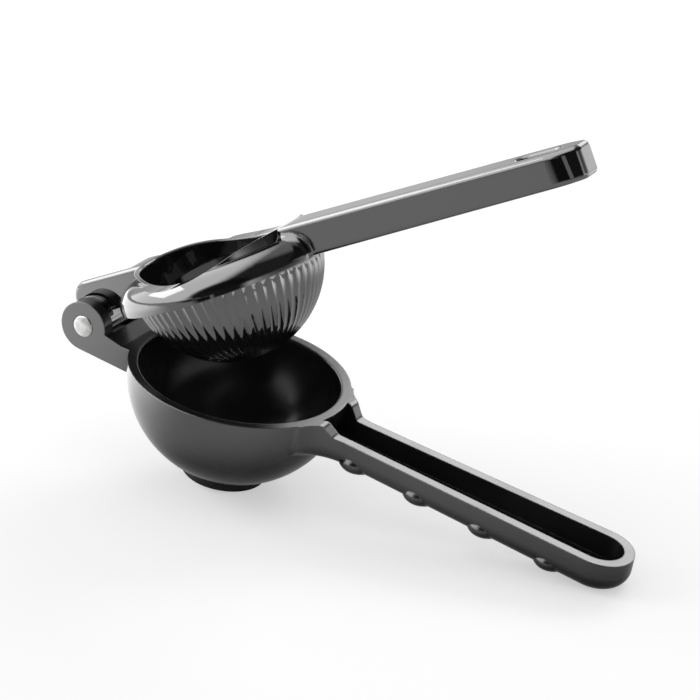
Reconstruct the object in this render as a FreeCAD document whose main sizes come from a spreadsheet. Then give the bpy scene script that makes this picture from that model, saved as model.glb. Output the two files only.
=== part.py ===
import FreeCAD, Part
import math
import os
import Sketcher

# Hinged lemon squeezer: a bowl with a channel handle, and a pressing cup on an upper arm.
# The bodies are drawn closed, with the origin at the centre of the bowl's rim, X along the
# handles and Z up out of the bowl. The arm is then swung open about the hinge pin, and the
# whole is laid down on its foot and the end of its handle.

SIZES = {
    # Bowl
    "bowlRadius": 37.0,
    "bowlWall": 3.5,
    "rimRound": 0.6,
    "drainRadius": 2.1,
    "drainCircle": 6.6,
    # Hinge ears and pin
    "earReach": 15.5,
    "hingeHeight": 1.6,
    "earRadius": 8.5,
    "earSpan": 28.8,
    "earThickness": 4.75,
    "earDepth": 8.2,
    "pinRadius": 3.7,
    "pinProud": 0.5,
    "hingeClearance": 0.05,
    "knuckleClearance": 0.3,
    "webGap": 1.2,
    # Lower handle, along it from the rim
    "handleLength": 107.3,
    "handleRootWidth": 19.0,
    "handleEndWidth": 22.8,
    "handleWall": 3.5,
    "handleRootRound": 2.0,
    "handleUnderside": 13.7,
    "handleUndersideEnd": 20.3,
    "undersideRound": 6.0,
    "flareGap": 0.84,
    "flareRun": 13.0,
    "flareRadius": 14.0,
    "stepGap": 1.0,
    "stepRun": 3.5,
    "stepRound": 2.0,
    "railDrop": 3.9,
    "railDropEnd": 9.1,
    "channelMouth": 16.8,
    "channelInset": 1.0,
    "channelFloor": 3.0,
    # Finger ribs under the handle
    "ribFirst": 11.6,
    "ribPitch": 23.8,
    "ribProud": 2.1,
    "ribHalfLength": 7.4,
    "ribHalfHeight": 5.0,
    "ribSideProud": 0.7,
    # Foot ring
    "footRadius": 14.2,
    "footBore": 11.2,
    "footSeatRise": 2.8,
    "footClearance": 0.2,
    "footHeight": 3.2,
    "footRound": 0.5,
    # Pressing cup
    "pressGap": 1.4,
    "pressCentre": 7.4,
    "pressWall": 3.8,
    "lipBottom": 3.0,
    "lipTop": 4.4,
    "ringInset": 8.2,
    "ringShoulder": 11.0,
    "shoulderRadius": 6.8,
    "ringWall": 1.6,
    "ringRound": 0.6,
    "saddleLow": 9.4,
    "saddleRadius": 50.0,
    # Flutes of the pressing cup
    "fluteDepth": 0.62,
    "fluteFade": 0.2,
    # Upper arm
    "armWidth": 14.2,
    "armTop": 15.0,
    "armUnderRoot": 3.5,
    "armUnderEnd": 4.5,
    "armLength": 100.0,
    "noseLength": 11.0,
    "noseRadius": 21.0,
    "armEndRound": 2.4,
    "armEdgeRound": 1.6,
    "armRootRound": 2.6,
    "neckOverhang": 5.5,
    "neckRound": 6.0,
    "knuckleRadius": 8.0,
    "slotInset": 16.0,
    "slotLength": 15.0,
    "slotWidth": 6.0,
    "slotRound": 1.2,
    # Pose of the photograph, in degrees
    "openAngle": 33.4,
    # Reach of cuts past the material
    "cutMargin": 6.0,
}

DRAINS = 6
FINGER_RIBS = 4
FLUTES = 60
FLUTE_ROWS = 10
FLUTE_COLUMNS = 6

# Places and radii that follow from the sizes, as expressions
HINGE_REACH = "(Sizes.bowlRadius + Sizes.earReach)"
NECK_END = f"({HINGE_REACH} + Sizes.neckOverhang)"
HANDLE_END = "(Sizes.bowlRadius + Sizes.handleLength)"
STEP_START = "(Sizes.bowlRadius + Sizes.stepGap)"
STEP_END = f"({STEP_START} + Sizes.stepRun)"
UNDER_SLOPE = f"((Sizes.handleUndersideEnd - Sizes.handleUnderside) / ({HANDLE_END} - {STEP_END}))"
RAIL_SLOPE = f"((Sizes.railDropEnd - Sizes.railDrop) / ({HANDLE_END} - {STEP_END}))"
FOOT_SEAT = "(Sizes.bowlRadius - Sizes.footSeatRise)"
FOOT_DROP = f"({FOOT_SEAT} + Sizes.footHeight)"
PRESS_RADIUS = "(Sizes.bowlRadius - Sizes.bowlWall - Sizes.pressGap)"
RING_RADIUS = "(Sizes.bowlRadius - Sizes.ringInset)"
CUP_OPENING = f"({RING_RADIUS} - Sizes.ringWall)"
ARM_END = "(Sizes.bowlRadius + Sizes.armLength)"
SLOT_CENTRE = f"({ARM_END} - Sizes.slotInset)"

doc = FreeCAD.newDocument("LemonSqueezer")
sheet = doc.addObject("Spreadsheet::Sheet", "Sizes")
for row, (alias, value) in enumerate(SIZES.items(), start=1):
    sheet.set(f"A{row}", alias)
    sheet.set(f"B{row}", str(value))
    sheet.setAlias(f"B{row}", alias)
doc.recompute()


def size(alias):
    return float(sheet.get(alias))


def worked_out(text):
    return float(sheet.evalExpression(text))


# Binds each named property of an object to an expression.
def bind(thing, expressions):
    for name, text in expressions.items():
        thing.setExpression(name, text)


HALF = None


def plane(body, role):
    return next(feature for feature in body.Origin.OriginFeatures if feature.Role == role)


def sketch_on(body, name, role):
    sketch = body.newObject("Sketcher::SketchObject", name)
    sketch.AttachmentSupport = [(plane(body, role), "")]
    sketch.MapMode = "FlatFace"
    return sketch


# Fixes a point of the sketch at two coordinates, each given as an expression.
def fix(sketch, geometry, point, place):
    for kind, text in zip(("DistanceX", "DistanceY"), place):
        value = float(sketch.evalExpression(text))
        index = sketch.addConstraint(Sketcher.Constraint(kind, -1, 1, geometry, point, value))
        sketch.setExpression(f"Constraints[{index}]", text)


# Draws a closed outline through corners. An edge is straight, or an arc where bends gives the
# edge's number, its radius and its side: 1 turns left along the way, -1 turns right. A half
# circle on an upright chord has HALF for its radius.
def outline(sketch, corners, bends=None):
    bends = bends or {}
    places = [FreeCAD.Vector(*(float(sketch.evalExpression(t)) for t in c), 0) for c in corners]
    first = sketch.GeometryCount
    up = FreeCAD.Vector(0, 0, 1)
    for number, start in enumerate(places):
        end = places[(number + 1) % len(places)]
        if number not in bends:
            sketch.addGeometry(Part.LineSegment(start, end), False)
            continue
        text, side = bends[number]
        chord = end - start
        radius = chord.Length / 2 if text is HALF else float(sketch.evalExpression(text))
        rise = math.sqrt(max(radius**2 - (chord.Length / 2) ** 2, 0.0))
        centre = (start + end) / 2 + up.cross(chord).normalize() * rise * side
        ends = (start, end) if side > 0 else (end, start)
        angles = [math.atan2(p.y - centre.y, p.x - centre.x) for p in ends]
        sketch.addGeometry(Part.ArcOfCircle(Part.Circle(centre, up, radius), *angles), False)
    ends = []
    for number in range(len(corners)):
        turned = number in bends and bends[number][1] < 0
        ends.append((2, 1) if turned else (1, 2))
    for number, corner in enumerate(corners):
        geometry = first + number
        before = number - 1 if number else len(corners) - 1
        join = ("Coincident", first + before, ends[before][1], geometry, ends[number][0])
        sketch.addConstraint(Sketcher.Constraint(*join))
        fix(sketch, geometry, ends[number][0], corner)
        if number in bends:
            text = bends[number][0]
            centred = text is HALF
            text = corner[0] if centred else text
            value = float(sketch.evalExpression(text))
            kind = ("DistanceX", -1, 1, geometry, 3, value) if centred else ("Radius", geometry, value)
            index = sketch.addConstraint(Sketcher.Constraint(*kind))
            sketch.setExpression(f"Constraints[{index}]", text)
    return sketch


def circle(sketch, place, radius):
    start = FreeCAD.Vector(*(float(sketch.evalExpression(text)) for text in place), 0)
    value = float(sketch.evalExpression(radius))
    geometry = sketch.addGeometry(Part.Circle(start, FreeCAD.Vector(0, 0, 1), value), False)
    index = sketch.addConstraint(Sketcher.Constraint("Radius", geometry, value))
    sketch.setExpression(f"Constraints[{index}]", radius)
    fix(sketch, geometry, 3, place)
    return sketch


# Adds a pad or pocket of a sketch: both ways by half the length, or one way.
def extrude(body, kind, name, sketch, length, both=True, backwards=False):
    feature = body.newObject(f"PartDesign::{kind}", name)
    feature.Profile = sketch
    feature.Type = "Length"
    feature.SideType = "Symmetric" if both else "One side"
    feature.Reversed = backwards
    bind(feature, {"Length": length})
    doc.recompute()
    return feature


# Adds a revolution or groove of a sketch about the sketch's upright axis.
def revolve(body, kind, name, sketch, angle="360", backwards=False):
    feature = body.newObject(f"PartDesign::{kind}", name)
    feature.Profile = sketch
    feature.ReferenceAxis = (sketch, ["V_Axis"])
    feature.Reversed = backwards
    bind(feature, {"Angle": angle})
    doc.recompute()
    return feature


def fillet(body, name, base, names, radius):
    feature = body.newObject("PartDesign::Fillet", name)
    feature.Base = (base, names)
    bind(feature, {"Radius": radius})
    doc.recompute()
    return feature


def polar(body, name, original, count):
    pattern = body.newObject("PartDesign::PolarPattern", name)
    pattern.Originals = [original]
    pattern.Axis = (plane(body, "Z_Axis"), [""])
    pattern.Angle = 360
    pattern.Occurrences = count
    doc.recompute()
    body.Tip = pattern
    doc.recompute()
    return pattern


def edges_where(feature, test):
    found = enumerate(feature.Shape.Edges, start=1)
    return [f"Edge{n}" for n, edge in found if not edge.Degenerated and test(edge)]


def new_body(label):
    body = doc.addObject("PartDesign::Body", label)
    body.Label = label
    return body


# Bowl, hinge ears and channel handle, cast in one piece.
def make_bowl_and_handle():
    body = new_body("bowl_and_handle")
    half_root = "Sizes.handleRootWidth / 2"
    half_end = "Sizes.handleEndWidth / 2"
    blank_depth = "Sizes.handleUndersideEnd + Sizes.cutMargin"
    flare_rise = "sqrt(pow(Sizes.flareRadius; 2) - pow(Sizes.flareRun; 2))"
    flare_half = f"({half_root} + Sizes.flareRadius - {flare_rise})"
    flare_start = f"(sqrt(pow(Sizes.bowlRadius; 2) - pow({flare_half}; 2)) + Sizes.flareGap)"
    flare_end = f"({flare_start} + Sizes.flareRun)"

    plan = sketch_on(body, "HandlePlan", "XY_Plane")
    outline(
        plan,
        [
            ("0", f"-({flare_half})"),
            (flare_start, f"-({flare_half})"),
            (flare_end, f"-{half_root}"),
            (f"{HANDLE_END} - {half_end}", f"-{half_end}"),
            (f"{HANDLE_END} - {half_end}", half_end),
            (flare_end, half_root),
            (flare_start, flare_half),
            ("0", flare_half),
        ],
        {
            1: ("Sizes.flareRadius", -1),
            3: (HALF, 1),
            5: ("Sizes.flareRadius", -1),
        },
    )
    extrude(body, "Pad", "HandleBlank", plan, blank_depth, both=False, backwards=True)

    beyond = f"{HANDLE_END} + Sizes.cutMargin"
    under_start = f"-(Sizes.handleUnderside - {UNDER_SLOPE} * ({STEP_END} + Sizes.cutMargin))"
    under_beyond = f"-(Sizes.handleUndersideEnd + {UNDER_SLOPE} * Sizes.cutMargin)"
    rail_beyond = f"-(Sizes.railDropEnd + {RAIL_SLOPE} * Sizes.cutMargin)"
    side = sketch_on(body, "HandleSide", "XZ_Plane")
    outline(
        side,
        [
            (STEP_START, "Sizes.cutMargin"),
            (STEP_START, "0"),
            (STEP_END, "-Sizes.railDrop"),
            (beyond, rail_beyond),
            (beyond, "Sizes.cutMargin"),
        ],
    )
    outline(
        side,
        [
            ("-Sizes.cutMargin", under_start),
            ("-Sizes.cutMargin", f"-({blank_depth} + Sizes.cutMargin)"),
            (beyond, f"-({blank_depth} + Sizes.cutMargin)"),
            (beyond, under_beyond),
        ],
    )
    across = "2 * (Sizes.bowlRadius + Sizes.cutMargin)"
    trim = extrude(body, "Pocket", "HandleTrim", side, across)

    lowest = min(range(len(trim.Shape.Faces)), key=lambda n: trim.Shape.Faces[n].CenterOfMass.z)
    under = fillet(body, "UndersideRound", trim, [f"Face{lowest + 1}"], "Sizes.undersideRound")
    fillet(body, "StepRound", under, edges_where(under, is_step_edge), "Sizes.stepRound")

    for number in range(FINGER_RIBS):
        rib = body.newObject("PartDesign::AdditiveEllipsoid", f"FingerRib{number + 1}")
        rib.AttachmentSupport = [(plane(body, "XY_Plane"), "")]
        rib.MapMode = "FlatFace"
        place = rib_place(number)
        width = "(Sizes.handleEndWidth - Sizes.handleRootWidth)"
        run = f"({place} - {STEP_END}) / ({HANDLE_END} - {STEP_END})"
        bind(
            rib,
            {
                "Radius1": "Sizes.ribHalfHeight",
                "Radius2": "Sizes.ribHalfLength",
                "Radius3": f"({half_root} + {width} / 2 * {run} + Sizes.ribSideProud) * 1mm",
                "AttachmentOffset.Base.x": place,
                "AttachmentOffset.Base.z": rib_height(number),
            },
        )
        doc.recompute()

    floor = body.newObject("PartDesign::Plane", "ChannelFloor")
    floor.AttachmentSupport = [(plane(body, "XY_Plane"), "")]
    floor.MapMode = "FlatFace"
    floor.AttachmentOffset = FreeCAD.Placement(
        FreeCAD.Vector(0, 0, 0), FreeCAD.Rotation(FreeCAD.Vector(0, 1, 0), 1)
    )
    bind(
        floor,
        {
            "AttachmentOffset.Rotation.Angle": f"atan({UNDER_SLOPE})",
            "AttachmentOffset.Base.x": STEP_END,
            "AttachmentOffset.Base.z": "-(Sizes.handleUnderside - Sizes.channelFloor)",
        },
    )
    doc.recompute()
    inner_root = f"{half_root} - Sizes.handleWall"
    inner_end = f"{half_end} - Sizes.handleWall"
    mouth = "(Sizes.bowlRadius - Sizes.channelInset)"
    channel = sketch_on(body, "ChannelPlan", "XY_Plane")
    outline(
        channel,
        [
            ("0", "-Sizes.channelMouth / 2"),
            (mouth, "-Sizes.channelMouth / 2"),
            (STEP_END, f"-({inner_root})"),
            (f"{HANDLE_END} - {half_end}", f"-({inner_end})"),
            (f"{HANDLE_END} - {half_end}", inner_end),
            (STEP_END, inner_root),
            (mouth, "Sizes.channelMouth / 2"),
            ("0", "Sizes.channelMouth / 2"),
        ],
        {3: (HALF, 1)},
    )
    pocket = body.newObject("PartDesign::Pocket", "Channel")
    pocket.Profile = channel
    pocket.Type = "UpToFace"
    pocket.UpToFace = (floor, [""])
    doc.recompute()

    ears = sketch_on(body, "EarSide", "XZ_Plane")
    reach = HINGE_REACH
    lift = "Sizes.hingeHeight"
    lean = "asin((Sizes.earDepth + Sizes.hingeHeight - Sizes.earRadius) / Sizes.earReach)"
    outline(
        ears,
        [
            (f"-{reach} + Sizes.earRadius", lift),
            (f"-{reach}", f"{lift} + Sizes.earRadius"),
            (f"-{reach} - Sizes.earRadius", lift),
            (f"-{reach} - Sizes.earRadius * sin({lean})", f"{lift} - Sizes.earRadius * cos({lean})"),
            ("-Sizes.bowlRadius + Sizes.bowlWall", "-Sizes.earDepth"),
            ("-Sizes.bowlRadius + Sizes.bowlWall", "0"),
            ("-Sizes.bowlRadius", "0"),
        ],
        {number: ("Sizes.earRadius", 1) for number in range(3)},
    )
    extrude(body, "Pad", "EarBlank", ears, "Sizes.earSpan")
    slot = sketch_on(body, "EarSlotPlan", "XY_Plane")
    slot_half = "(Sizes.earSpan / 2 - Sizes.earThickness)"
    slot_end = f"-({HINGE_REACH} + Sizes.earRadius + Sizes.cutMargin)"
    web_end = f"-({HINGE_REACH} - Sizes.knuckleRadius - Sizes.webGap)"
    outline(
        slot,
        [
            (slot_end, f"-{slot_half}"),
            (web_end, f"-{slot_half}"),
            (web_end, slot_half),
            (slot_end, slot_half),
        ],
    )
    extrude(body, "Pocket", "EarSlot", slot, "4 * (Sizes.earRadius + Sizes.earDepth)")

    bowl = sketch_on(body, "BowlSection", "XZ_Plane")
    outline(
        bowl,
        [("0", "0"), ("0", "-Sizes.bowlRadius"), ("Sizes.bowlRadius", "0")],
        {1: ("Sizes.bowlRadius", 1)},
    )
    outside = revolve(body, "Revolution", "BowlOutside", bowl)
    roots = edges_where(outside, is_handle_root)
    fillet(body, "HandleRootRound", outside, roots, "Sizes.handleRootRound")
    inner = "(Sizes.bowlRadius - Sizes.bowlWall)"
    hollow = sketch_on(body, "BowlHollowSection", "XZ_Plane")
    outline(
        hollow,
        [
            ("0", f"-{inner}"),
            (inner, "0"),
            (inner, "Sizes.cutMargin"),
            ("0", "Sizes.cutMargin"),
        ],
        {0: (inner, 1)},
    )
    bowl_hollow = revolve(body, "Groove", "BowlHollow", hollow)

    rims = edges_where(bowl_hollow, is_rim_edge)
    fillet(body, "RimRound", bowl_hollow, rims, "Sizes.rimRound")

    seat = sketch_on(body, "FootSeatSection", "XZ_Plane")
    outline(
        seat,
        [
            ("Sizes.footBore - Sizes.footClearance", f"-{FOOT_SEAT}"),
            ("Sizes.footBore - Sizes.footClearance", "-(Sizes.bowlRadius + Sizes.cutMargin)"),
            ("Sizes.footRadius + Sizes.cutMargin", "-(Sizes.bowlRadius + Sizes.cutMargin)"),
            ("Sizes.footRadius + Sizes.cutMargin", f"-{FOOT_SEAT}"),
        ],
    )
    revolve(body, "Groove", "FootSeat", seat)

    middle = sketch_on(body, "MiddleDrainPlan", "XY_Plane")
    circle(middle, ("0", "0"), "Sizes.drainRadius")
    extrude(body, "Pocket", "MiddleDrain", middle, "2 * (Sizes.bowlRadius + Sizes.cutMargin)")
    outer = sketch_on(body, "DrainPlan", "XY_Plane")
    circle(outer, ("Sizes.drainCircle", "0"), "Sizes.drainRadius")
    drain = extrude(body, "Pocket", "Drain", outer, "2 * (Sizes.bowlRadius + Sizes.cutMargin)")
    polar(body, "DrainRing", drain, DRAINS)

    bore = sketch_on(body, "PinBoreSide", "XZ_Plane")
    circle(bore, (f"-{reach}", lift), "Sizes.pinRadius")
    extrude(body, "Pocket", "PinBore", bore, across)
    return body


# Where a finger rib's middle lies along the handle, and how high.
def rib_place(number):
    return f"(Sizes.bowlRadius + Sizes.ribFirst + {number} * Sizes.ribPitch)"


def rib_height(number):
    under = f"(Sizes.handleUnderside + {UNDER_SLOPE} * ({rib_place(number)} - {STEP_END}))"
    return f"(Sizes.ribHalfHeight - Sizes.ribProud - {under})"


# A level edge across the handle, above or below the step down from the rim to the rails.
def is_step_edge(edge):
    box = edge.BoundBox
    across = box.XLength < 0.01 and box.ZLength < 0.01
    upper = abs(box.Center.x - worked_out(STEP_START)) < 0.01 and abs(box.Center.z) < 0.01
    lower = abs(box.Center.x - worked_out(STEP_END)) < 0.01
    return across and (upper or lower)


# An edge where the outside of the handle meets the bowl's outside.
def is_handle_root(edge):
    box = edge.BoundBox
    reach = [vertex.Point.Length for vertex in edge.Vertexes]
    on_bowl = all(abs(length - size("bowlRadius")) < 0.01 for length in reach)
    on_handle = box.Center.x > 0 and box.ZMin > -size("handleUnderside") - 0.1
    below_floor = box.ZMax < size("channelFloor") - size("handleUnderside") - 0.1
    beside = abs(box.Center.y) > size("channelMouth") / 2 + 1 and box.ZMin < -1
    return on_bowl and on_handle and (below_floor or beside)


# The edge inside the bowl's rim, where the cast edge is broken.
def is_rim_edge(edge):
    inner = size("bowlRadius") - size("bowlWall")
    flat = all(abs(vertex.Z) < 0.01 for vertex in edge.Vertexes)
    round_inner = isinstance(edge.Curve, Part.Circle) and abs(edge.Curve.Radius - inner) < 0.01
    return flat and round_inner


# Pressing cup and upper handle, cast in one piece and drawn closed.
def make_press_arm():
    body = new_body("press_arm")
    reach = HINGE_REACH
    lift = "Sizes.hingeHeight"
    side = sketch_on(body, "ArmSide", "XZ_Plane")
    outline(
        side,
        [
            (f"-{NECK_END}", lift),
            (f"-{reach} + Sizes.knuckleRadius", lift),
            (f"-{reach} + Sizes.knuckleRadius", "Sizes.lipBottom"),
            ("Sizes.bowlRadius", "Sizes.armUnderRoot"),
            (ARM_END, "Sizes.armUnderEnd"),
            (ARM_END, "Sizes.armTop"),
            (f"-{NECK_END} + Sizes.neckRound", "Sizes.armTop"),
            (f"-{NECK_END}", "Sizes.armTop - Sizes.neckRound"),
        ],
        {6: ("Sizes.neckRound", 1)},
    )
    extrude(body, "Pad", "ArmSpine", side, "Sizes.armWidth")

    # The sides of the bar draw in towards its end along arcs.
    nose = sketch_on(body, "ArmNosePlan", "XY_Plane")
    nose_start = f"{ARM_END} - Sizes.noseLength"
    nose_beyond = f"{ARM_END} + Sizes.cutMargin"
    nose_half = (
        "(Sizes.armWidth / 2 - Sizes.noseRadius"
        " + sqrt(pow(Sizes.noseRadius; 2) - pow(Sizes.noseLength; 2)))"
    )
    for sign, turn in (("", 1), ("-", -1)):
        outline(
            nose,
            [
                (nose_start, f"{sign}(Sizes.armWidth / 2)"),
                (ARM_END, f"{sign}{nose_half}"),
                (nose_beyond, f"{sign}{nose_half}"),
                (nose_beyond, f"{sign}(Sizes.armWidth / 2 + Sizes.cutMargin)"),
                (nose_start, f"{sign}(Sizes.armWidth / 2 + Sizes.cutMargin)"),
            ],
            {0: ("Sizes.noseRadius", -turn)},
        )
    spine = extrude(body, "Pocket", "ArmNose", nose, "2 * (Sizes.armTop + Sizes.cutMargin)")
    corners = edges_where(spine, is_arm_corner)
    rounded = fillet(body, "ArmEndRound", spine, corners, "Sizes.armEndRound")
    long_edges = edges_where(rounded, is_arm_edge)
    fillet(body, "ArmEdgeRound", rounded, long_edges, "Sizes.armEdgeRound")

    knuckle = sketch_on(body, "KnuckleSide", "XZ_Plane")
    circle(knuckle, (f"-{reach}", lift), "Sizes.knuckleRadius")
    gap = "(Sizes.earSpan - 2 * Sizes.earThickness)"
    extrude(body, "Pad", "Knuckle", knuckle, f"{gap} - 2 * Sizes.knuckleClearance")

    centre = "Sizes.pressCentre"
    section = sketch_on(body, "RingSection", "XZ_Plane")
    outline(
        section,
        [
            ("0", "Sizes.lipBottom"),
            ("Sizes.bowlRadius", "Sizes.lipBottom"),
            ("Sizes.bowlRadius", "Sizes.lipTop"),
            (RING_RADIUS, "Sizes.ringShoulder"),
            (RING_RADIUS, "Sizes.armTop"),
            ("0", "Sizes.armTop"),
        ],
        {2: ("Sizes.shoulderRadius", 1)},
    )
    revolve(body, "Revolution", "Ring", section)

    # The top of the ring dips between the arm and the neck along arcs of one radius.
    saddle = sketch_on(body, "SaddleSide", "XZ_Plane")
    lean = "acos(1 - (Sizes.armTop - Sizes.saddleLow) / (2 * Sizes.saddleRadius))"
    turn_x = f"Sizes.saddleRadius * sin({lean})"
    turn_z = "(Sizes.armTop + Sizes.saddleLow) / 2"
    above = "Sizes.armTop + Sizes.cutMargin"
    outline(
        saddle,
        [
            (f"-2 * {turn_x}", "Sizes.armTop"),
            (f"-{turn_x}", turn_z),
            (turn_x, turn_z),
            (f"2 * {turn_x}", "Sizes.armTop"),
            (f"2 * {turn_x}", above),
            (f"-2 * {turn_x}", above),
        ],
        {number: ("Sizes.saddleRadius", side) for number, side in enumerate((-1, 1, -1))},
    )
    dipped = extrude(body, "Pocket", "Saddle", saddle, "2 * (Sizes.bowlRadius + Sizes.cutMargin)")
    roots = edges_where(dipped, is_arm_root)
    fillet(body, "ArmRootRound", dipped, roots, "Sizes.armRootRound")

    union = body.newObject("PartDesign::Boolean", "DomeUnion")
    union.Type = "Fuse"
    union.setObjects([make_dome()])
    doc.recompute()

    inner = f"({PRESS_RADIUS} - Sizes.pressWall)"
    floor = f"{centre} - sqrt(pow({inner}; 2) - pow({CUP_OPENING}; 2))"
    hollow = sketch_on(body, "CupHollowSection", "XZ_Plane")
    outline(
        hollow,
        [
            ("0", f"{centre} - {inner}"),
            (CUP_OPENING, floor),
            (CUP_OPENING, "Sizes.armTop + Sizes.cutMargin"),
            ("0", "Sizes.armTop + Sizes.cutMargin"),
        ],
        {0: (inner, 1)},
    )
    cup = revolve(body, "Groove", "CupHollow", hollow)
    fillet(body, "RingRound", cup, edges_where(cup, is_ring_edge), "Sizes.ringRound")

    bore = sketch_on(body, "KnuckleBoreSide", "XZ_Plane")
    circle(bore, (f"-{reach}", lift), "Sizes.pinRadius + Sizes.hingeClearance")
    extrude(body, "Pocket", "KnuckleBore", bore, "Sizes.earSpan")

    slot = sketch_on(body, "HangSlotPlan", "XY_Plane")
    half = "(Sizes.slotWidth / 2)"
    start = f"{SLOT_CENTRE} - Sizes.slotLength / 2 + {half}"
    end = f"{SLOT_CENTRE} + Sizes.slotLength / 2 - {half}"
    outline(
        slot,
        [(start, f"-{half}"), (end, f"-{half}"), (end, half), (start, half)],
        {1: (HALF, 1), 3: (HALF, 1)},
    )
    hang = extrude(body, "Pocket", "HangSlot", slot, "2 * (Sizes.armTop + Sizes.cutMargin)")
    mouths = edges_where(hang, is_slot_mouth)
    fillet(body, "HangSlotRound", hang, mouths, "Sizes.slotRound")
    return body


def is_arm_corner(edge):
    at_end = all(abs(vertex.X - worked_out(ARM_END)) < 0.01 for vertex in edge.Vertexes)
    return at_end and edge.BoundBox.ZLength > size("armEndRound")


# A long edge along the top or the underside of the bar, or its round at the end.
def is_arm_edge(edge):
    box = edge.BoundBox
    low = max(size("armUnderRoot"), size("armUnderEnd")) + 0.01
    level = box.ZMin > size("armTop") - 0.01 or box.ZMax < low
    return level and box.XMax > worked_out(ARM_END) - size("armEndRound") - 0.01


# The inside corner where a side of the bar meets the hollow flank of the ring.
def is_arm_root(edge):
    box = edge.BoundBox
    on_side = box.YLength < 0.01 and abs(abs(box.Center.y) - size("armWidth") / 2) < 0.01
    nearest = math.sqrt(worked_out(RING_RADIUS) ** 2 - (size("armWidth") / 2) ** 2)
    on_flank = box.XMin > nearest - 0.1 and box.XMax < size("bowlRadius") + 0.01
    return on_side and on_flank and box.ZLength > size("shoulderRadius") / 2


# The edge inside the top of the ring.
def is_ring_edge(edge):
    reach = [math.hypot(vertex.X, vertex.Y) for vertex in edge.Vertexes]
    inside = all(abs(length - worked_out(CUP_OPENING)) < 0.01 for length in reach)
    return inside and edge.BoundBox.ZMin > size("saddleLow") - 0.1 and edge.BoundBox.ZLength > 0.01


def is_slot_mouth(edge):
    box = edge.BoundBox
    inside = abs(box.Center.x - worked_out(SLOT_CENTRE)) < size("slotLength") / 2 + 0.01
    narrow = box.YMax < size("slotWidth") / 2 + 0.01 and box.YMin > -size("slotWidth") / 2 - 0.01
    return inside and narrow and abs(box.ZMax - size("armTop")) < 0.01 and box.ZLength < 0.01


# The fluted dome under the pressing cup. Its surface is a sphere with hollow flutes between
# sharp crests: at the angle t from the bottom and the share u across a flute, from -1 to 1,
# its radius is PRESS_RADIUS - depth(t) * (1 - u * u). The depth fades out towards the bottom.
def make_dome():
    radius = worked_out(PRESS_RADIUS)
    start = math.atan2(size("fluteFade"), size("fluteDepth"))
    step = 2 * math.pi / FLUTES
    up = FreeCAD.Vector(0, 0, 1)
    centre = up * size("pressCentre")

    def surface_point(tilt, share):
        depth = size("fluteDepth") * math.sin(tilt) - size("fluteFade") * math.cos(tilt)
        reach = radius - depth * (1 - share**2)
        turn = share * step / 2
        sideways = reach * math.sin(tilt)
        place = (sideways * math.cos(turn), sideways * math.sin(turn), -reach * math.cos(tilt))
        return centre + FreeCAD.Vector(*place)

    def steps(first, last, count):
        return [first + (last - first) * number / count for number in range(count + 1)]

    tilts = steps(start, math.pi / 2, FLUTE_ROWS)
    shares = steps(-1.0, 1.0, FLUTE_COLUMNS)
    surface = Part.BSplineSurface()
    surface.interpolate([[surface_point(tilt, share) for share in shares] for tilt in tilts])
    patch = surface.toShape()
    faces = []
    for number in range(FLUTES):
        face = patch.copy()
        face.rotate(FreeCAD.Vector(0, 0, 0), up, math.degrees(step) * number)
        faces.append(face)
    shell = Part.makeCompound(faces)
    shell.sewShape()
    for rim in rims_of(shell):
        faces.append(Part.Face(rim))
    closed = Part.makeCompound(faces)
    closed.sewShape()
    solid = Part.makeSolid(closed.Shells[0])
    if solid.Volume < 0:
        solid.reverse()
    dome = doc.addObject("Part::Feature", "FlutedDome")
    dome.Shape = solid
    body = doc.addObject("PartDesign::Body", "DomeBody")
    body.BaseFeature = dome
    doc.recompute()
    return body


# The two level outlines of a sewn band of faces.
def rims_of(shell):
    level = [edge for edge in shell.Edges if edge.BoundBox.ZLength < 0.001]
    rims = [Part.Wire(edges) for edges in Part.sortEdges(level)]
    return rims


# Steel pin, a tight fit in the ears, with slightly domed ends. It is drawn upright.
def make_hinge_pin():
    body = new_body("hinge_pin")
    half = "Sizes.earSpan / 2"
    tip = f"{half} + Sizes.pinProud"
    crown = "(pow(Sizes.pinRadius; 2) + pow(Sizes.pinProud; 2)) / (2 * Sizes.pinProud)"
    section = sketch_on(body, "PinSection", "XZ_Plane")
    outline(
        section,
        [
            ("0", f"-({tip})"),
            ("Sizes.pinRadius", f"-{half}"),
            ("Sizes.pinRadius", half),
            ("0", tip),
        ],
        {0: (crown, 1), 2: (crown, 1)},
    )
    revolve(body, "Revolution", "Pin", section)
    return body


# Rubber ring on the flat seat under the bowl.
def make_foot_ring():
    body = new_body("foot_ring")
    section = sketch_on(body, "FootSection", "XZ_Plane")
    outline(
        section,
        [
            ("Sizes.footBore", f"-{FOOT_SEAT}"),
            ("Sizes.footBore", f"-{FOOT_DROP}"),
            ("Sizes.footRadius - Sizes.footRound", f"-{FOOT_DROP}"),
            ("Sizes.footRadius", f"-{FOOT_DROP} + Sizes.footRound"),
            ("Sizes.footRadius", f"-{FOOT_SEAT}"),
        ],
        {2: ("Sizes.footRound", 1)},
    )
    revolve(body, "Revolution", "Foot", section)
    return body


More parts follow.
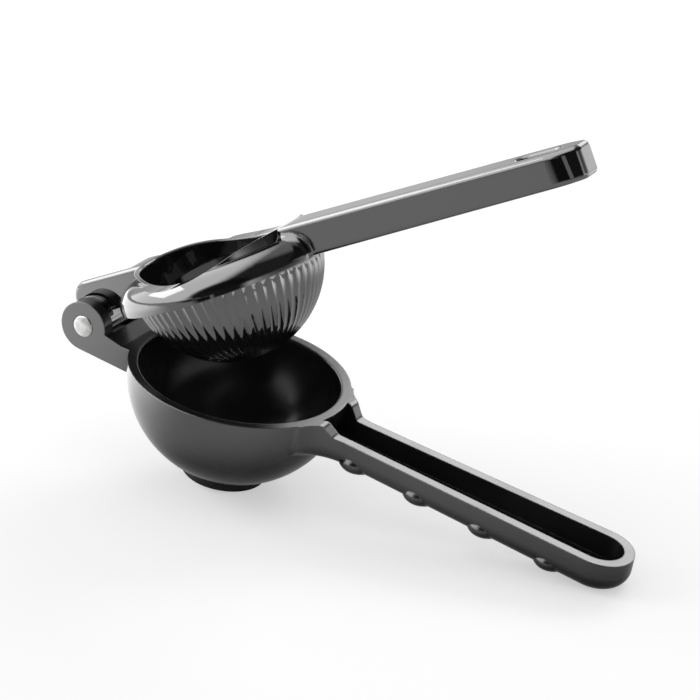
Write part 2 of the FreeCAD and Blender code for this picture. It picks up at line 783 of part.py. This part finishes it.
# How far the squeezer leans over the edge of its foot until its handle meets the table. Each
# round is an ellipse seen from the side: its middle along and up, and its two half axes. At a
# lean a, its lowest point is z cos a - x sin a - hypot(length sin a, height cos a) high.
def rest_tilt():
    foot_edge = size("footRound")
    foot = (size("footRadius") - foot_edge, foot_edge - worked_out(FOOT_DROP), foot_edge, foot_edge)
    heel = size("undersideRound")
    heel_lift = size("handleUndersideEnd") - heel * (1 + worked_out(UNDER_SLOPE))
    handle = [(worked_out(HANDLE_END) - heel, -heel_lift, heel, heel)]
    for number in range(FINGER_RIBS):
        place = (worked_out(rib_place(number)), worked_out(rib_height(number)))
        handle.append((*place, size("ribHalfLength"), size("ribHalfHeight")))

    def lowest(part, lean):
        x, z, length, height = part
        reach = math.hypot(length * math.sin(lean), height * math.cos(lean))
        return z * math.cos(lean) - x * math.sin(lean) - reach

    least, most = 0.0, math.pi / 4
    while most - least > 1e-9:
        lean = (least + most) / 2
        if lowest(foot, lean) < min(lowest(part, lean) for part in handle):
            least = lean
        else:
            most = lean
    return math.degrees(least)


# Sets the pieces down: origin on the table under the middle of the whole, arm swung open.
def lay_down(lower, arm, pin, foot):
    across = FreeCAD.Vector(0, 1, 0)
    hinge = FreeCAD.Vector(-worked_out(HINGE_REACH), 0, size("hingeHeight"))
    nothing = FreeCAD.Vector(0, 0, 0)
    lean = FreeCAD.Rotation(across, rest_tilt())
    swing = FreeCAD.Placement(nothing, FreeCAD.Rotation(across, -size("openAngle")), hinge)
    upright = FreeCAD.Rotation(FreeCAD.Vector(1, 0, 0), 90)
    own = [
        (lower, FreeCAD.Placement()),
        (arm, swing),
        (pin, FreeCAD.Placement(hinge, upright)),
        (foot, FreeCAD.Placement()),
    ]
    for body, place in own:
        body.Placement = FreeCAD.Placement(nothing, lean).multiply(place)
    doc.recompute()
    box = FreeCAD.BoundBox()
    for body, place in own:
        box.add(body.Shape.optimalBoundingBox())
    shift = FreeCAD.Vector(-box.Center.x, -box.Center.y, -box.ZMin)
    for body, place in own:
        body.Placement = FreeCAD.Placement(shift, lean).multiply(place)
    doc.recompute()
    return shift


lower = make_bowl_and_handle()
arm = make_press_arm()
pin = make_hinge_pin()
foot = make_foot_ring()
shift = lay_down(lower, arm, pin, foot)

for thing in doc.Objects:
    if "Invalid" in thing.State or "Error" in thing.State:
        raise RuntimeError(f"{thing.Name} failed: {thing.getStatusString()}")
os.makedirs("parts", exist_ok=True)
for body in (lower, arm, pin, foot):
    shape = body.Shape
    if shape.isNull() or not shape.isValid() or len(shape.Solids) != 1:
        raise RuntimeError(f"{body.Label} is not one valid solid")
    shape.exportStep(os.path.join("parts", f"{body.Label}.step"))
    box = shape.optimalBoundingBox()
    print(f"{body.Label}: {shape.Volume / 1000:.2f} cm3, {box}")
hinge = lower.Placement.multVec(FreeCAD.Vector(-worked_out(HINGE_REACH), 0, size("hingeHeight")))
print(f"rest tilt {rest_tilt():.3f} degrees, shift {shift}, hinge {hinge}")
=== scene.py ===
import math

import bmesh
import bpy
import numpy as np
from mathutils import Matrix, Vector


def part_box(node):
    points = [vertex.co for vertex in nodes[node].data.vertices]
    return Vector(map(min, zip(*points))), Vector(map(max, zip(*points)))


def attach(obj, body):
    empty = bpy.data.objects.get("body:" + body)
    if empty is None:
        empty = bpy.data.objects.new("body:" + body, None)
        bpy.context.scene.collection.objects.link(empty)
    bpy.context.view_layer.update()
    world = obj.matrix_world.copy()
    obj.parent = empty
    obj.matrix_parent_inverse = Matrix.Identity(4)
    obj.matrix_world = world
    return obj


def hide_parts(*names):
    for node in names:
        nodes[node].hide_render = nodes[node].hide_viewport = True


# A hinged lemon squeezer: satin black bowl and channel handle, glossy black pressing arm,
# steel hinge pin and a black rubber foot ring. Metres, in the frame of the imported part.

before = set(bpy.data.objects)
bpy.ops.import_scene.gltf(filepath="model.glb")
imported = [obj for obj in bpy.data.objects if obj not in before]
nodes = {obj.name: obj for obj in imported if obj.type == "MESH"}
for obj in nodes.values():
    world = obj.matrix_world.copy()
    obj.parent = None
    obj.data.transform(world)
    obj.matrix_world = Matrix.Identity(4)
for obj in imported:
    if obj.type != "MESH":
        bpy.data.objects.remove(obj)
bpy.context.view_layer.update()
print("frame loaded:", ", ".join(sorted(nodes)))


# Small helpers for shader trees: a socket is fed by a plain value or by another socket.
def feed(tree, socket, value):
    if isinstance(value, bpy.types.NodeSocket):
        tree.links.new(value, socket)
    else:
        socket.default_value = value


def nodeOf(tree, kind, **inputs):
    node = tree.nodes.new(kind)
    for name, value in inputs.items():
        feed(tree, node.inputs[name.replace("_", " ")], value)
    return node


def maths(tree, operation, first, second=0.0):
    node = tree.nodes.new("ShaderNodeMath")
    node.operation = operation
    feed(tree, node.inputs[0], first)
    feed(tree, node.inputs[1], second)
    return node.outputs[0]


# A smooth step: low up to start, high from end on.
def ramp(tree, value, start, end, low=0.0, high=1.0):
    node = nodeOf(tree, "ShaderNodeMapRange", Value=value)
    node.interpolation_type = "SMOOTHSTEP"
    limits = {"From Min": start, "From Max": end, "To Min": low, "To Max": high}
    for name, number in limits.items():
        feed(tree, node.inputs[name], number)
    return node.outputs[0]


def blend(tree, share, first, second):
    node = tree.nodes.new("ShaderNodeMix")
    node.data_type = "RGBA"
    sockets = [socket for socket in node.inputs if socket.type == "RGBA"]
    feed(tree, node.inputs["Factor"], share)
    feed(tree, sockets[0], first)
    feed(tree, sockets[1], second)
    return [socket for socket in node.outputs if socket.type == "RGBA"][0]


# The kinds of ray, and a mask that is one for rays off a mirroring or through a clear surface.
def mirrorRays(tree):
    path = tree.nodes.new("ShaderNodeLightPath").outputs
    return path, maths(tree, "MAXIMUM", path["Is Glossy Ray"], path["Is Transmission Ray"])


# One number out of two vectors: their distance, or their dot product.
def measure(tree, operation, first, second):
    node = nodeOf(tree, "ShaderNodeVectorMath")
    node.operation = operation
    feed(tree, node.inputs[0], first)
    feed(tree, node.inputs[1], second)
    return node.outputs["Value"]


# The placing of a camera or lamp that stands at a place and looks at an aim.
def facing(place, aim):
    turn = (Vector(aim) - Vector(place)).to_track_quat("-Z", "Y").to_matrix().to_4x4()
    return Matrix.Translation(Vector(place)) @ turn


cameraSettings = {
    "place": (0.36756, -0.72109, 0.39978),
    "aim": (-0.00071, 0.0, 0.05646),
    "rollDegrees": 2.907,
    "lens": 142.07,          # mm
    "sensor": 36.0,          # mm
    "nearest": 0.05,
    "furthest": 20.0,
}


def makeCamera():
    look = cameraSettings
    data = bpy.data.cameras.new("photoCamera")
    data.sensor_width = look["sensor"]
    data.lens = look["lens"]
    data.clip_start = look["nearest"]
    data.clip_end = look["furthest"]
    camera = bpy.data.objects.new("photoCamera", data)
    roll = Matrix.Rotation(math.radians(look["rollDegrees"]), 4, "Z")
    camera.matrix_world = facing(look["place"], look["aim"]) @ roll
    bpy.context.scene.collection.objects.link(camera)
    bpy.context.scene.camera = camera


# The studio, as the paint mirrors it: a bright wall on the left, a paler one behind, a white
# sweep along the horizon, a black card in front, a grey one behind on the left, and dimness
# elsewhere. Each wall or card has the way to its middle, the cosines from that way where it
# starts and where it is full, and its strength, which for a card is what it lets through.
studioSettings = {
    "white": (1.0, 1.0, 1.0, 1.0),
    "leftWall": ((-0.852, -0.310, 0.423), 0.31, 0.71, 2.8),
    "backWall": ((-0.369, 0.527, 0.766), 0.57, 0.87, 0.55),
    "dim": 0.05,
    "sweepEven": 0.14,       # sine of the elevation where the white sweep starts to fade
    "sweepTop": 0.34,        # and where it ends
    "sweep": 2.2,
    "frontCard": ((0.250, -0.935, 0.250), 0.79, 0.91, 0.01),
    "backCard": ((-0.640, 0.768, 0.0), 0.88, 0.95, 0.41),
    "ambient": 0.42,         # what lights the object from all round
}

# What mirror rays see on the floor: painted pools of light, each with its middle, the distances
# where it starts to fade and ends, and its strength, and a patch of painted shade in front.
floorSettings = {
    "size": 6.0,
    "colour": (0.80, 0.80, 0.80, 1.0),
    "shadeColour": (0.01, 0.01, 0.01, 1.0),
    "white": (1.0, 1.0, 1.0, 1.0),
    "roughness": 0.9,
    "cameraLift": 0.50,      # what the camera sees on top of the lit colour
    "farLift": 0.62,         # and further off, where the soft boxes light it less
    "liftStart": 0.9,        # how far off that begins
    "liftEnd": 2.4,
    "evenLift": 0.26,        # what mirror rays see on top of it everywhere
    "leftPool": ((-0.47, 0.05, 0.0), 0.25, 0.43, 2.2),
    "backPool": ((0.60, 0.62, 0.0), 0.32, 0.70, 1.9),
    "frontShadePatch": ((0.12, -0.98, 0.0), 0.42, 0.66, 1.0),
}

# Each soft box: where its centre is, what it looks at, width and height, and watts.
softBoxes = {
    "backBox": ((0.02, 1.20, 0.80), (0.0, 0.0, 0.05), 0.90, 0.50, 4.5),
    "leftBox": ((-1.10, -0.30, 0.62), (0.0, 0.0, 0.05), 0.80, 0.50, 4.5),
}


def makeStudio():
    look = studioSettings
    world = bpy.data.worlds.new("paleStudio")
    world.use_nodes = True
    tree = world.node_tree
    tree.nodes.clear()
    ways = tree.nodes.new("ShaderNodeTexCoord").outputs["Generated"]

    def spot(name, low):
        way, start, full, strength = look[name]
        nearness = measure(tree, "DOT_PRODUCT", ways, Vector(way).normalized())
        return ramp(tree, nearness, start, full, low, strength)

    height = nodeOf(tree, "ShaderNodeSeparateXYZ", Vector=ways).outputs["Z"]
    room = ramp(tree, height, look["sweepEven"], look["sweepTop"], look["sweep"], look["dim"])
    for name in ("leftWall", "backWall"):
        room = maths(tree, "MAXIMUM", room, spot(name, 0.0))
    for name in ("frontCard", "backCard"):
        room = maths(tree, "MULTIPLY", room, spot(name, 1.0))
    path, mirror = mirrorRays(tree)
    plain = maths(tree, "MAXIMUM", path["Is Camera Ray"], look["ambient"])
    mirrored = maths(tree, "MULTIPLY", room, mirror)
    others = maths(tree, "MULTIPLY", plain, maths(tree, "SUBTRACT", 1.0, mirror))
    back = nodeOf(tree, "ShaderNodeBackground", Color=look["white"])
    feed(tree, back.inputs["Strength"], maths(tree, "ADD", mirrored, others))
    out = tree.nodes.new("ShaderNodeOutputWorld")
    tree.links.new(back.outputs[0], out.inputs["Surface"])
    bpy.context.scene.world = world


def makeFloor():
    look = floorSettings
    half = look["size"] / 2
    corners = [(-half, -half, 0.0), (half, -half, 0.0), (half, half, 0.0), (-half, half, 0.0)]
    mesh = bpy.data.meshes.new("paleFloor")
    mesh.from_pydata(corners, [], [(0, 1, 2, 3)])
    floor = bpy.data.objects.new("paleFloor", mesh)
    bpy.context.scene.collection.objects.link(floor)
    material = bpy.data.materials.new("paleFloorPaint")
    material.use_nodes = True
    tree = material.node_tree
    shader = tree.nodes["Principled BSDF"]
    feed(tree, shader.inputs["Roughness"], look["roughness"])
    feed(tree, shader.inputs["Specular IOR Level"], 0.0)
    feed(tree, shader.inputs["Emission Color"], look["white"])
    path, mirror = mirrorRays(tree)
    place = tree.nodes.new("ShaderNodeTexCoord").outputs["Object"]

    def pool(name):
        middle, even, edge, strength = look[name]
        return ramp(tree, measure(tree, "DISTANCE", place, middle), even, edge, strength, 0.0)

    reach = measure(tree, "DISTANCE", place, (0.0, 0.0, 0.0))
    lifts = (look["cameraLift"], look["farLift"])
    lifted = ramp(tree, reach, look["liftStart"], look["liftEnd"], *lifts)
    seen = maths(tree, "MULTIPLY", path["Is Camera Ray"], lifted)
    # Painted shade: mirror rays see the floor darkened in the patch in front.
    shadePatch = maths(tree, "MULTIPLY", mirror, pool("frontShadePatch"))
    feed(tree, shader.inputs["Base Color"], blend(tree, shadePatch, look["colour"], look["shadeColour"]))
    # Painted light: mirror rays see the floor glow in the pools.
    pools = maths(tree, "ADD", pool("leftPool"), pool("backPool"))
    even = maths(tree, "MULTIPLY", look["evenLift"], maths(tree, "SUBTRACT", 1.0, shadePatch))
    mirrored = maths(tree, "MULTIPLY", mirror, maths(tree, "ADD", pools, even))
    feed(tree, shader.inputs["Emission Strength"], maths(tree, "ADD", seen, mirrored))
    mesh.materials.append(material)


def makeSoftBoxes():
    for name, (place, aim, width, height, watts) in softBoxes.items():
        data = bpy.data.lights.new(name, "AREA")
        data.shape = "RECTANGLE"
        data.size = width
        data.size_y = height
        data.energy = watts
        lamp = bpy.data.objects.new(name, data)
        lamp.matrix_world = facing(place, aim)
        bpy.context.scene.collection.objects.link(lamp)


# Starts a shader group with its named inputs and outputs, and returns it with their nodes.
def newGroup(name, inputs, outputs):
    group = bpy.data.node_groups.new(name, "ShaderNodeTree")
    for title, (kind, value) in inputs.items():
        socket = group.interface.new_socket(title, in_out="INPUT", socket_type=kind)
        if value is not None:
            socket.default_value = value
    for title, kind in outputs.items():
        group.interface.new_socket(title, in_out="OUTPUT", socket_type=kind)
    given = group.nodes.new("NodeGroupInput").outputs
    made = group.nodes.new("NodeGroupOutput").inputs
    return group, given, made


def noise(tree, place, scale, detail):
    node = nodeOf(tree, "ShaderNodeTexNoise", Vector=place, Scale=scale, Detail=detail)
    return node.outputs["Fac"]


# The grain of the sprayed paint. A pair is where a noise starts to count and where it is full.
sprayGrain = {
    "clouds": (0.35, 0.70),
    "cloudDetail": 4.0,
    "smudges": (0.48, 0.66),
    "smudgeDetail": 5.0,
    "smudgesPerCloud": 3.1,
    "specks": (0.77, 0.82),
    "speckScale": 1300.0,
    "speckColour": (0.30, 0.30, 0.29, 1.0),
    "speckDull": 0.5,        # how much rougher a speck of dust is
    "cloudShare": 0.35,      # how much of the dullness follows the clouds
    "smudgeShare": 0.65,     # and how much the smudges
    "finePerPeel": 4.0,
    "fineShare": 0.25,
}


# Sprayed paint that has been handled: the colour drifts between two tones in soft clouds, thin
# smudges change the gloss, and a fine orange peel gives the height. Dust is a few pale specks.
def makePaintGroup():
    grain = sprayGrain
    inputs = {
        "Place": ("NodeSocketVector", None),
        "Colour": ("NodeSocketColor", (0.02, 0.02, 0.02, 1.0)),
        "Pale Colour": ("NodeSocketColor", (0.05, 0.05, 0.05, 1.0)),
        "Cloud Scale": ("NodeSocketFloat", 40.0),
        "Peel Scale": ("NodeSocketFloat", 600.0),
        "Gloss": ("NodeSocketFloat", 0.1),
        "Dull": ("NodeSocketFloat", 0.3),
        "Dust": ("NodeSocketFloat", 0.2),
    }
    outputs = {
        "Colour": "NodeSocketColor",
        "Roughness": "NodeSocketFloat",
        "Height": "NodeSocketFloat",
    }
    group, given, made = newGroup("sprayedPaint", inputs, outputs)
    place = given["Place"]
    cloudy = noise(group, place, given["Cloud Scale"], grain["cloudDetail"])
    clouds = ramp(group, cloudy, *grain["clouds"])
    smudgeScale = maths(group, "MULTIPLY", given["Cloud Scale"], grain["smudgesPerCloud"])
    smudgy = noise(group, place, smudgeScale, grain["smudgeDetail"])
    smudges = ramp(group, smudgy, *grain["smudges"])
    peel = noise(group, place, given["Peel Scale"], 1.0)
    fineScale = maths(group, "MULTIPLY", given["Peel Scale"], grain["finePerPeel"])
    fine = noise(group, place, fineScale, 1.0)
    specks = ramp(group, noise(group, place, grain["speckScale"], 0.0), *grain["specks"])
    dusty = maths(group, "MULTIPLY", specks, given["Dust"])
    tone = blend(group, clouds, given["Colour"], given["Pale Colour"])
    feed(group, made["Colour"], blend(group, dusty, tone, grain["speckColour"]))
    spread = maths(group, "SUBTRACT", given["Dull"], given["Gloss"])
    cloudDull = maths(group, "MULTIPLY", clouds, grain["cloudShare"])
    smudgeDull = maths(group, "MULTIPLY", smudges, grain["smudgeShare"])
    dulled = maths(group, "MULTIPLY", spread, maths(group, "ADD", cloudDull, smudgeDull))
    rough = maths(group, "ADD", given["Gloss"], dulled)
    dustDull = maths(group, "MULTIPLY", dusty, grain["speckDull"])
    feed(group, made["Roughness"], maths(group, "ADD", rough, dustDull))
    fineHeight = maths(group, "MULTIPLY", fine, grain["fineShare"])
    feed(group, made["Height"], maths(group, "ADD", peel, fineHeight))
    return group


# Where the edge lightening, partly rubbed paint and partly painted highlight, starts and where
# it
# is full: the cosine of the smoothed normal's lean, and the noise of its patches.
edgeGrain = {
    "samples": 4,
    "lean": (0.985, 0.86),
    "patches": (0.40, 0.66),
    "patchScale": 260.0,
    "patchDetail": 3.0,
}


# Edges: the surface normal smoothed over a small radius, and a mask of how far the smoothed
# normal leans from the plain one, broken up by noise, where paint has rubbed thin and where a
# highlight along the edge is painted.
def makeEdgeGroup():
    grain = edgeGrain
    inputs = {
        "Place": ("NodeSocketVector", None),
        "Edge Radius": ("NodeSocketFloat", 0.0005),
        "Edge Wear And Highlight": ("NodeSocketFloat", 0.5),
    }
    outputs = {"Mask": "NodeSocketFloat", "Normal": "NodeSocketVector"}
    group, given, made = newGroup("wornAndHighlitEdge", inputs, outputs)
    soft = nodeOf(group, "ShaderNodeBevel", Radius=given["Edge Radius"])
    soft.samples = grain["samples"]
    plain = group.nodes.new("ShaderNodeNewGeometry").outputs["Normal"]
    lean = measure(group, "DOT_PRODUCT", soft.outputs["Normal"], plain)
    edge = ramp(group, lean, *grain["lean"])
    patchNoise = noise(group, given["Place"], grain["patchScale"], grain["patchDetail"])
    patchy = maths(group, "MULTIPLY", edge, ramp(group, patchNoise, *grain["patches"]))
    feed(group, made["Mask"], maths(group, "MULTIPLY", patchy, given["Edge Wear And Highlight"]))
    feed(group, made["Normal"], soft.outputs["Normal"])
    return group


paintGroup = makePaintGroup()
edgeGroup = makeEdgeGroup()
peelDepth = 0.0001           # metres of the peel's height
hollowSamples = 6
fullLevel = 0.5              # the shader's own level of mirroring


# A painted casting: the paint group under the edge group, with a shallow bump. In its hollows,
# where ambient occlusion finds the sky shut out, the mirroring is turned down: painted shade.
def paintedMaterial(name, look):
    material = bpy.data.materials.new(name)
    material.use_nodes = True
    tree = material.node_tree
    shader = tree.nodes["Principled BSDF"]
    place = tree.nodes.new("ShaderNodeTexCoord").outputs["Object"]
    coat = tree.nodes.new("ShaderNodeGroup")
    coat.node_tree = paintGroup
    edges = tree.nodes.new("ShaderNodeGroup")
    edges.node_tree = edgeGroup
    for user in (coat, edges):
        feed(tree, user.inputs["Place"], place)
        for title in user.inputs.keys():
            if title in look:
                feed(tree, user.inputs[title], look[title])
    # Edges lightened: partly paint rubbed thin, partly a painted highlight along them.
    tone = blend(tree, edges.outputs["Mask"], coat.outputs["Colour"], look["Edge Wear And Highlight Colour"])
    feed(tree, shader.inputs["Base Color"], tone)
    feed(tree, shader.inputs["Roughness"], coat.outputs["Roughness"])
    bump = nodeOf(tree, "ShaderNodeBump", Height=coat.outputs["Height"], Distance=peelDepth)
    feed(tree, bump.inputs["Normal"], edges.outputs["Normal"])
    feed(tree, bump.inputs["Strength"], look["Peel Strength"])
    feed(tree, shader.inputs["Normal"], bump.outputs[0])
    shader.inputs["IOR"].default_value = look["IOR"]
    # Painted shade: ambient occlusion lowers the paint's mirroring in hollows.
    hollowShade = nodeOf(tree, "ShaderNodeAmbientOcclusion", Distance=look["Hollow Reach"])
    hollowShade.samples = hollowSamples
    levels = (look["Hollow Start"], look["Hollow End"], look["Hollow Shade Level"], fullLevel)
    feed(tree, shader.inputs["Specular IOR Level"], ramp(tree, hollowShade.outputs["AO"], *levels))
    return material


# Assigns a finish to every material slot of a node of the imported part.
def finish(node, material):
    for slot in nodes[node].material_slots:
        slot.material = material


bowlPaint = {
    "Colour": (0.012, 0.012, 0.013, 1.0),
    "Pale Colour": (0.022, 0.022, 0.023, 1.0),
    "Cloud Scale": 28.0,
    "Peel Scale": 700.0,
    "Peel Strength": 0.10,
    "Gloss": 0.20,
    "Dull": 0.27,
    "Dust": 0.03,
    "Edge Radius": 0.0006,
    "Edge Wear And Highlight": 0.25,
    "Edge Wear And Highlight Colour": (0.20, 0.20, 0.20, 1.0),
    "IOR": 2.0,
    "Hollow Reach": 0.05,
    "Hollow Start": 0.50,    # share of open sky where the paint mirrors least
    "Hollow End": 0.75,      # and where it mirrors fully
    "Hollow Shade Level": 0.03,
}

armPaint = {
    "Colour": (0.006, 0.006, 0.007, 1.0),
    "Pale Colour": (0.011, 0.011, 0.012, 1.0),
    "Cloud Scale": 22.0,
    "Peel Scale": 260.0,
    "Peel Strength": 0.02,
    "Gloss": 0.015,
    "Dull": 0.06,
    "Dust": 0.06,
    "Edge Radius": 0.0005,
    "Edge Wear And Highlight": 0.15,
    "Edge Wear And Highlight Colour": (0.16, 0.16, 0.16, 1.0),
    "IOR": 2.2,
    "Hollow Reach": 0.02,
    "Hollow Start": 0.15,
    "Hollow End": 0.40,
    "Hollow Shade Level": 0.20,
}


# A closed ring or disc turned about an axis: point(u, v) = centre + r(v) * (cos u * first +
# sin u * second) + a(v) * axis, where (r, a) runs along the profile and u goes once round.
# A profile whose ends lie on the axis is closed by a fan at each pole; another is a loop.
def turnedMesh(name, profile, centre, axis, steps):
    axis = Vector(axis).normalized()
    first = axis.orthogonal().normalized()
    second = axis.cross(first)
    radius, along = np.array(profile, dtype=float).T
    turn = np.arange(steps) * 2 * np.pi / steps
    spokes = np.outer(np.cos(turn), np.array(first)) + np.outer(np.sin(turn), np.array(second))
    points = radius[:, None, None] * spokes[None] + along[:, None, None] * np.array(axis)
    points = points + np.array(centre)
    poled = radius[0] == 0 and radius[-1] == 0
    rows = len(profile)
    here = np.arange(steps)
    ahead = (here + 1) % steps
    if poled:
        inner = points[1:-1]
        tops = np.array([points[0, 0], points[-1, 0]])
        verts = np.concatenate([inner.reshape(-1, 3), tops])
        bands = rows - 3
        start, end = len(verts) - 2, len(verts) - 1
    else:
        verts = points.reshape(-1, 3)
        bands = rows
    faces = []
    for band in range(bands):
        low = band * steps
        high = ((band + 1) % rows) * steps if not poled else low + steps
        quads = np.stack([low + here, low + ahead, high + ahead, high + here], axis=1)
        faces.extend(quads.tolist())
    if poled:
        last = bands * steps
        faces.extend(np.stack([ahead, here, np.full(steps, start)], axis=1).tolist())
        faces.extend(np.stack([last + here, last + ahead, np.full(steps, end)], axis=1).tolist())
    mesh = bpy.data.meshes.new(name)
    mesh.from_pydata(verts.tolist(), [], faces)
    shell = bmesh.new()
    shell.from_mesh(mesh)
    bmesh.ops.recalc_face_normals(shell, faces=shell.faces)
    shell.to_mesh(mesh)
    shell.free()
    mesh.shade_smooth()
    piece = bpy.data.objects.new(name, mesh)
    bpy.context.scene.collection.objects.link(piece)
    return piece


# Points along an arc about a middle, from one angle to another, in degrees.
def arcPoints(middle, radius, startAngle, endAngle, count):
    angles = np.radians(np.linspace(startAngle, endAngle, count))
    return [(middle[0] + radius * math.cos(a), middle[1] + radius * math.sin(a)) for a in angles]


pinLook = {
    "Colour": (0.34, 0.34, 0.34, 1.0),
    "Pale Colour": (0.50, 0.50, 0.49, 1.0),
    "edgeRound": 0.00045,    # round of the head's rim
    "crown": 0.00022,        # how far the middle of a head stands above its rim
    "steps": 96,
    "rimTurn": 78,           # degrees the rim's round turns before the crown goes on
    "rimSteps": 7,
    "crownSteps": (0.75, 0.5, 0.25),     # shares of the way from the rim to the middle
    "turningScale": 5200.0,  # turning marks per metre of radius
    "turningDetail": 2.0,
    "turningStrength": 0.25,
    "turningDepth": 0.00003,
    "clouds": (0.35, 0.7),
    "cloudScale": 420.0,
    "cloudDetail": 4.0,
    "roughness": 0.30,
    "roughSpread": 0.08,
}


# The hinge pin: a rod with a slightly crowned head at each end, its rim rounded. The crown
# follows height = half - (half - rim height) * s * s at the share s of the rim's radius.
def makeHingePin():
    look = pinLook
    low, high = (Vector(corner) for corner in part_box("hinge_pin"))
    middle = (low + high) / 2
    radius = (high.x - low.x) / 2
    half = (high.y - low.y) / 2
    edge = look["edgeRound"]
    flank = half - look["crown"] - edge
    rim = arcPoints((radius - edge, flank), edge, 0, look["rimTurn"], look["rimSteps"])
    rimRadius, rimHeight = rim[-1]
    inner = [(s * rimRadius, half - (half - rimHeight) * s**2) for s in look["crownSteps"]]
    side = rim + inner
    profile = [(0.0, -half)] + [(r, -a) for r, a in reversed(side)] + side + [(0.0, half)]
    pin = turnedMesh("hingeRivet", profile, middle, (0, 1, 0), look["steps"])
    material = bpy.data.materials.new("turnedSteel")
    material.use_nodes = True
    tree = material.node_tree
    shader = tree.nodes["Principled BSDF"]
    place = tree.nodes.new("ShaderNodeTexCoord").outputs["Object"]
    shift = nodeOf(tree, "ShaderNodeVectorMath")
    feed(tree, shift.inputs[0], place)
    feed(tree, shift.inputs[1], (-middle.x, 0.0, -middle.z))
    axes = nodeOf(tree, "ShaderNodeSeparateXYZ", Vector=shift.outputs[0])
    across = maths(tree, "MULTIPLY", axes.outputs["X"], axes.outputs["X"])
    upward = maths(tree, "MULTIPLY", axes.outputs["Z"], axes.outputs["Z"])
    reach = maths(tree, "SQRT", maths(tree, "ADD", across, upward))
    rings = nodeOf(tree, "ShaderNodeTexNoise", Scale=look["turningScale"])
    rings.noise_dimensions = "1D"
    feed(tree, rings.inputs["W"], reach)
    feed(tree, rings.inputs["Detail"], look["turningDetail"])
    cloudy = noise(tree, place, look["cloudScale"], look["cloudDetail"])
    clouds = ramp(tree, cloudy, *look["clouds"])
    tone = blend(tree, clouds, look["Colour"], look["Pale Colour"])
    feed(tree, shader.inputs["Base Color"], tone)
    uneven = maths(tree, "ADD", clouds, rings.outputs["Fac"])
    mixed = maths(tree, "MULTIPLY", uneven, look["roughSpread"])
    least = look["roughness"] - look["roughSpread"]
    feed(tree, shader.inputs["Roughness"], maths(tree, "ADD", mixed, least))
    bump = nodeOf(tree, "ShaderNodeBump", Height=rings.outputs["Fac"])
    feed(tree, bump.inputs["Strength"], look["turningStrength"])
    feed(tree, bump.inputs["Distance"], look["turningDepth"])
    feed(tree, shader.inputs["Normal"], bump.outputs[0])
    shader.inputs["Metallic"].default_value = 1.0
    pin.data.materials.append(material)
    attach(pin, "lower")
    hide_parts("hinge_pin")


footLook = {
    "Colour": (0.006, 0.006, 0.006, 1.0),
    "Pale Colour": (0.013, 0.013, 0.012, 1.0),
    "Cloud Scale": 90.0,
    "Peel Scale": 1500.0,
    "Peel Strength": 0.30,
    "Gloss": 0.52,
    "Dull": 0.70,
    "Dust": 0.35,
    "Edge Radius": 0.0003,
    "Edge Wear And Highlight": 0.20,
    "Edge Wear And Highlight Colour": (0.05, 0.05, 0.05, 1.0),
    "IOR": 1.35,
    "Hollow Reach": 0.01,
    "Hollow Start": 0.10,
    "Hollow End": 0.50,
    "Hollow Shade Level": 0.10,
    "tiltDegrees": 7.964,    # the bowl's lean at rest
    "width": 0.0030,
    "height": 0.0032,
    "edgeRound": 0.0007,
    "edgeSteps": 6,
    "steps": 144,
}


# The foot: a soft ring with rounded edges on the tilted bowl's own axis. Its section is a
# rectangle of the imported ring's width and height with a quarter round at each corner.
def makeFootRing():
    look = footLook
    low, high = (Vector(corner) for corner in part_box("foot_ring"))
    tilt = math.radians(look["tiltDegrees"])
    axis = Vector((math.sin(tilt), 0.0, math.cos(tilt)))
    outer = (high.y - low.y) / 2
    inner = outer - look["width"]
    half = look["height"] / 2
    edge = look["edgeRound"]
    corners = (
        (outer, -half, 1, -1),
        (outer, half, 1, 1),
        (inner, half, -1, 1),
        (inner, -half, -1, -1),
    )
    section = []
    for number, (reach, level, outward, upward) in enumerate(corners):
        middle = (reach - outward * edge, level - upward * edge)
        section += arcPoints(middle, edge, 90 * number - 90, 90 * number, look["edgeSteps"])
    ring = turnedMesh("rubberFoot", section, (low + high) / 2, axis, look["steps"])
    ring.data.materials.append(paintedMaterial("blackRubber", look))
    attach(ring, "lower")
    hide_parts("foot_ring")


makeCamera()
makeStudio()
makeFloor()
makeSoftBoxes()
print("camera, studio, floor and soft boxes made")

finish("bowl_and_handle", paintedMaterial("satinBlackPaint", bowlPaint))
finish("press_arm", paintedMaterial("glossyBlackPaint", armPaint))
print("castings painted")
makeHingePin()
print("hinge pin made")
makeFootRing()
print("foot ring made")

bpy.context.scene.view_settings.view_transform = "Standard"
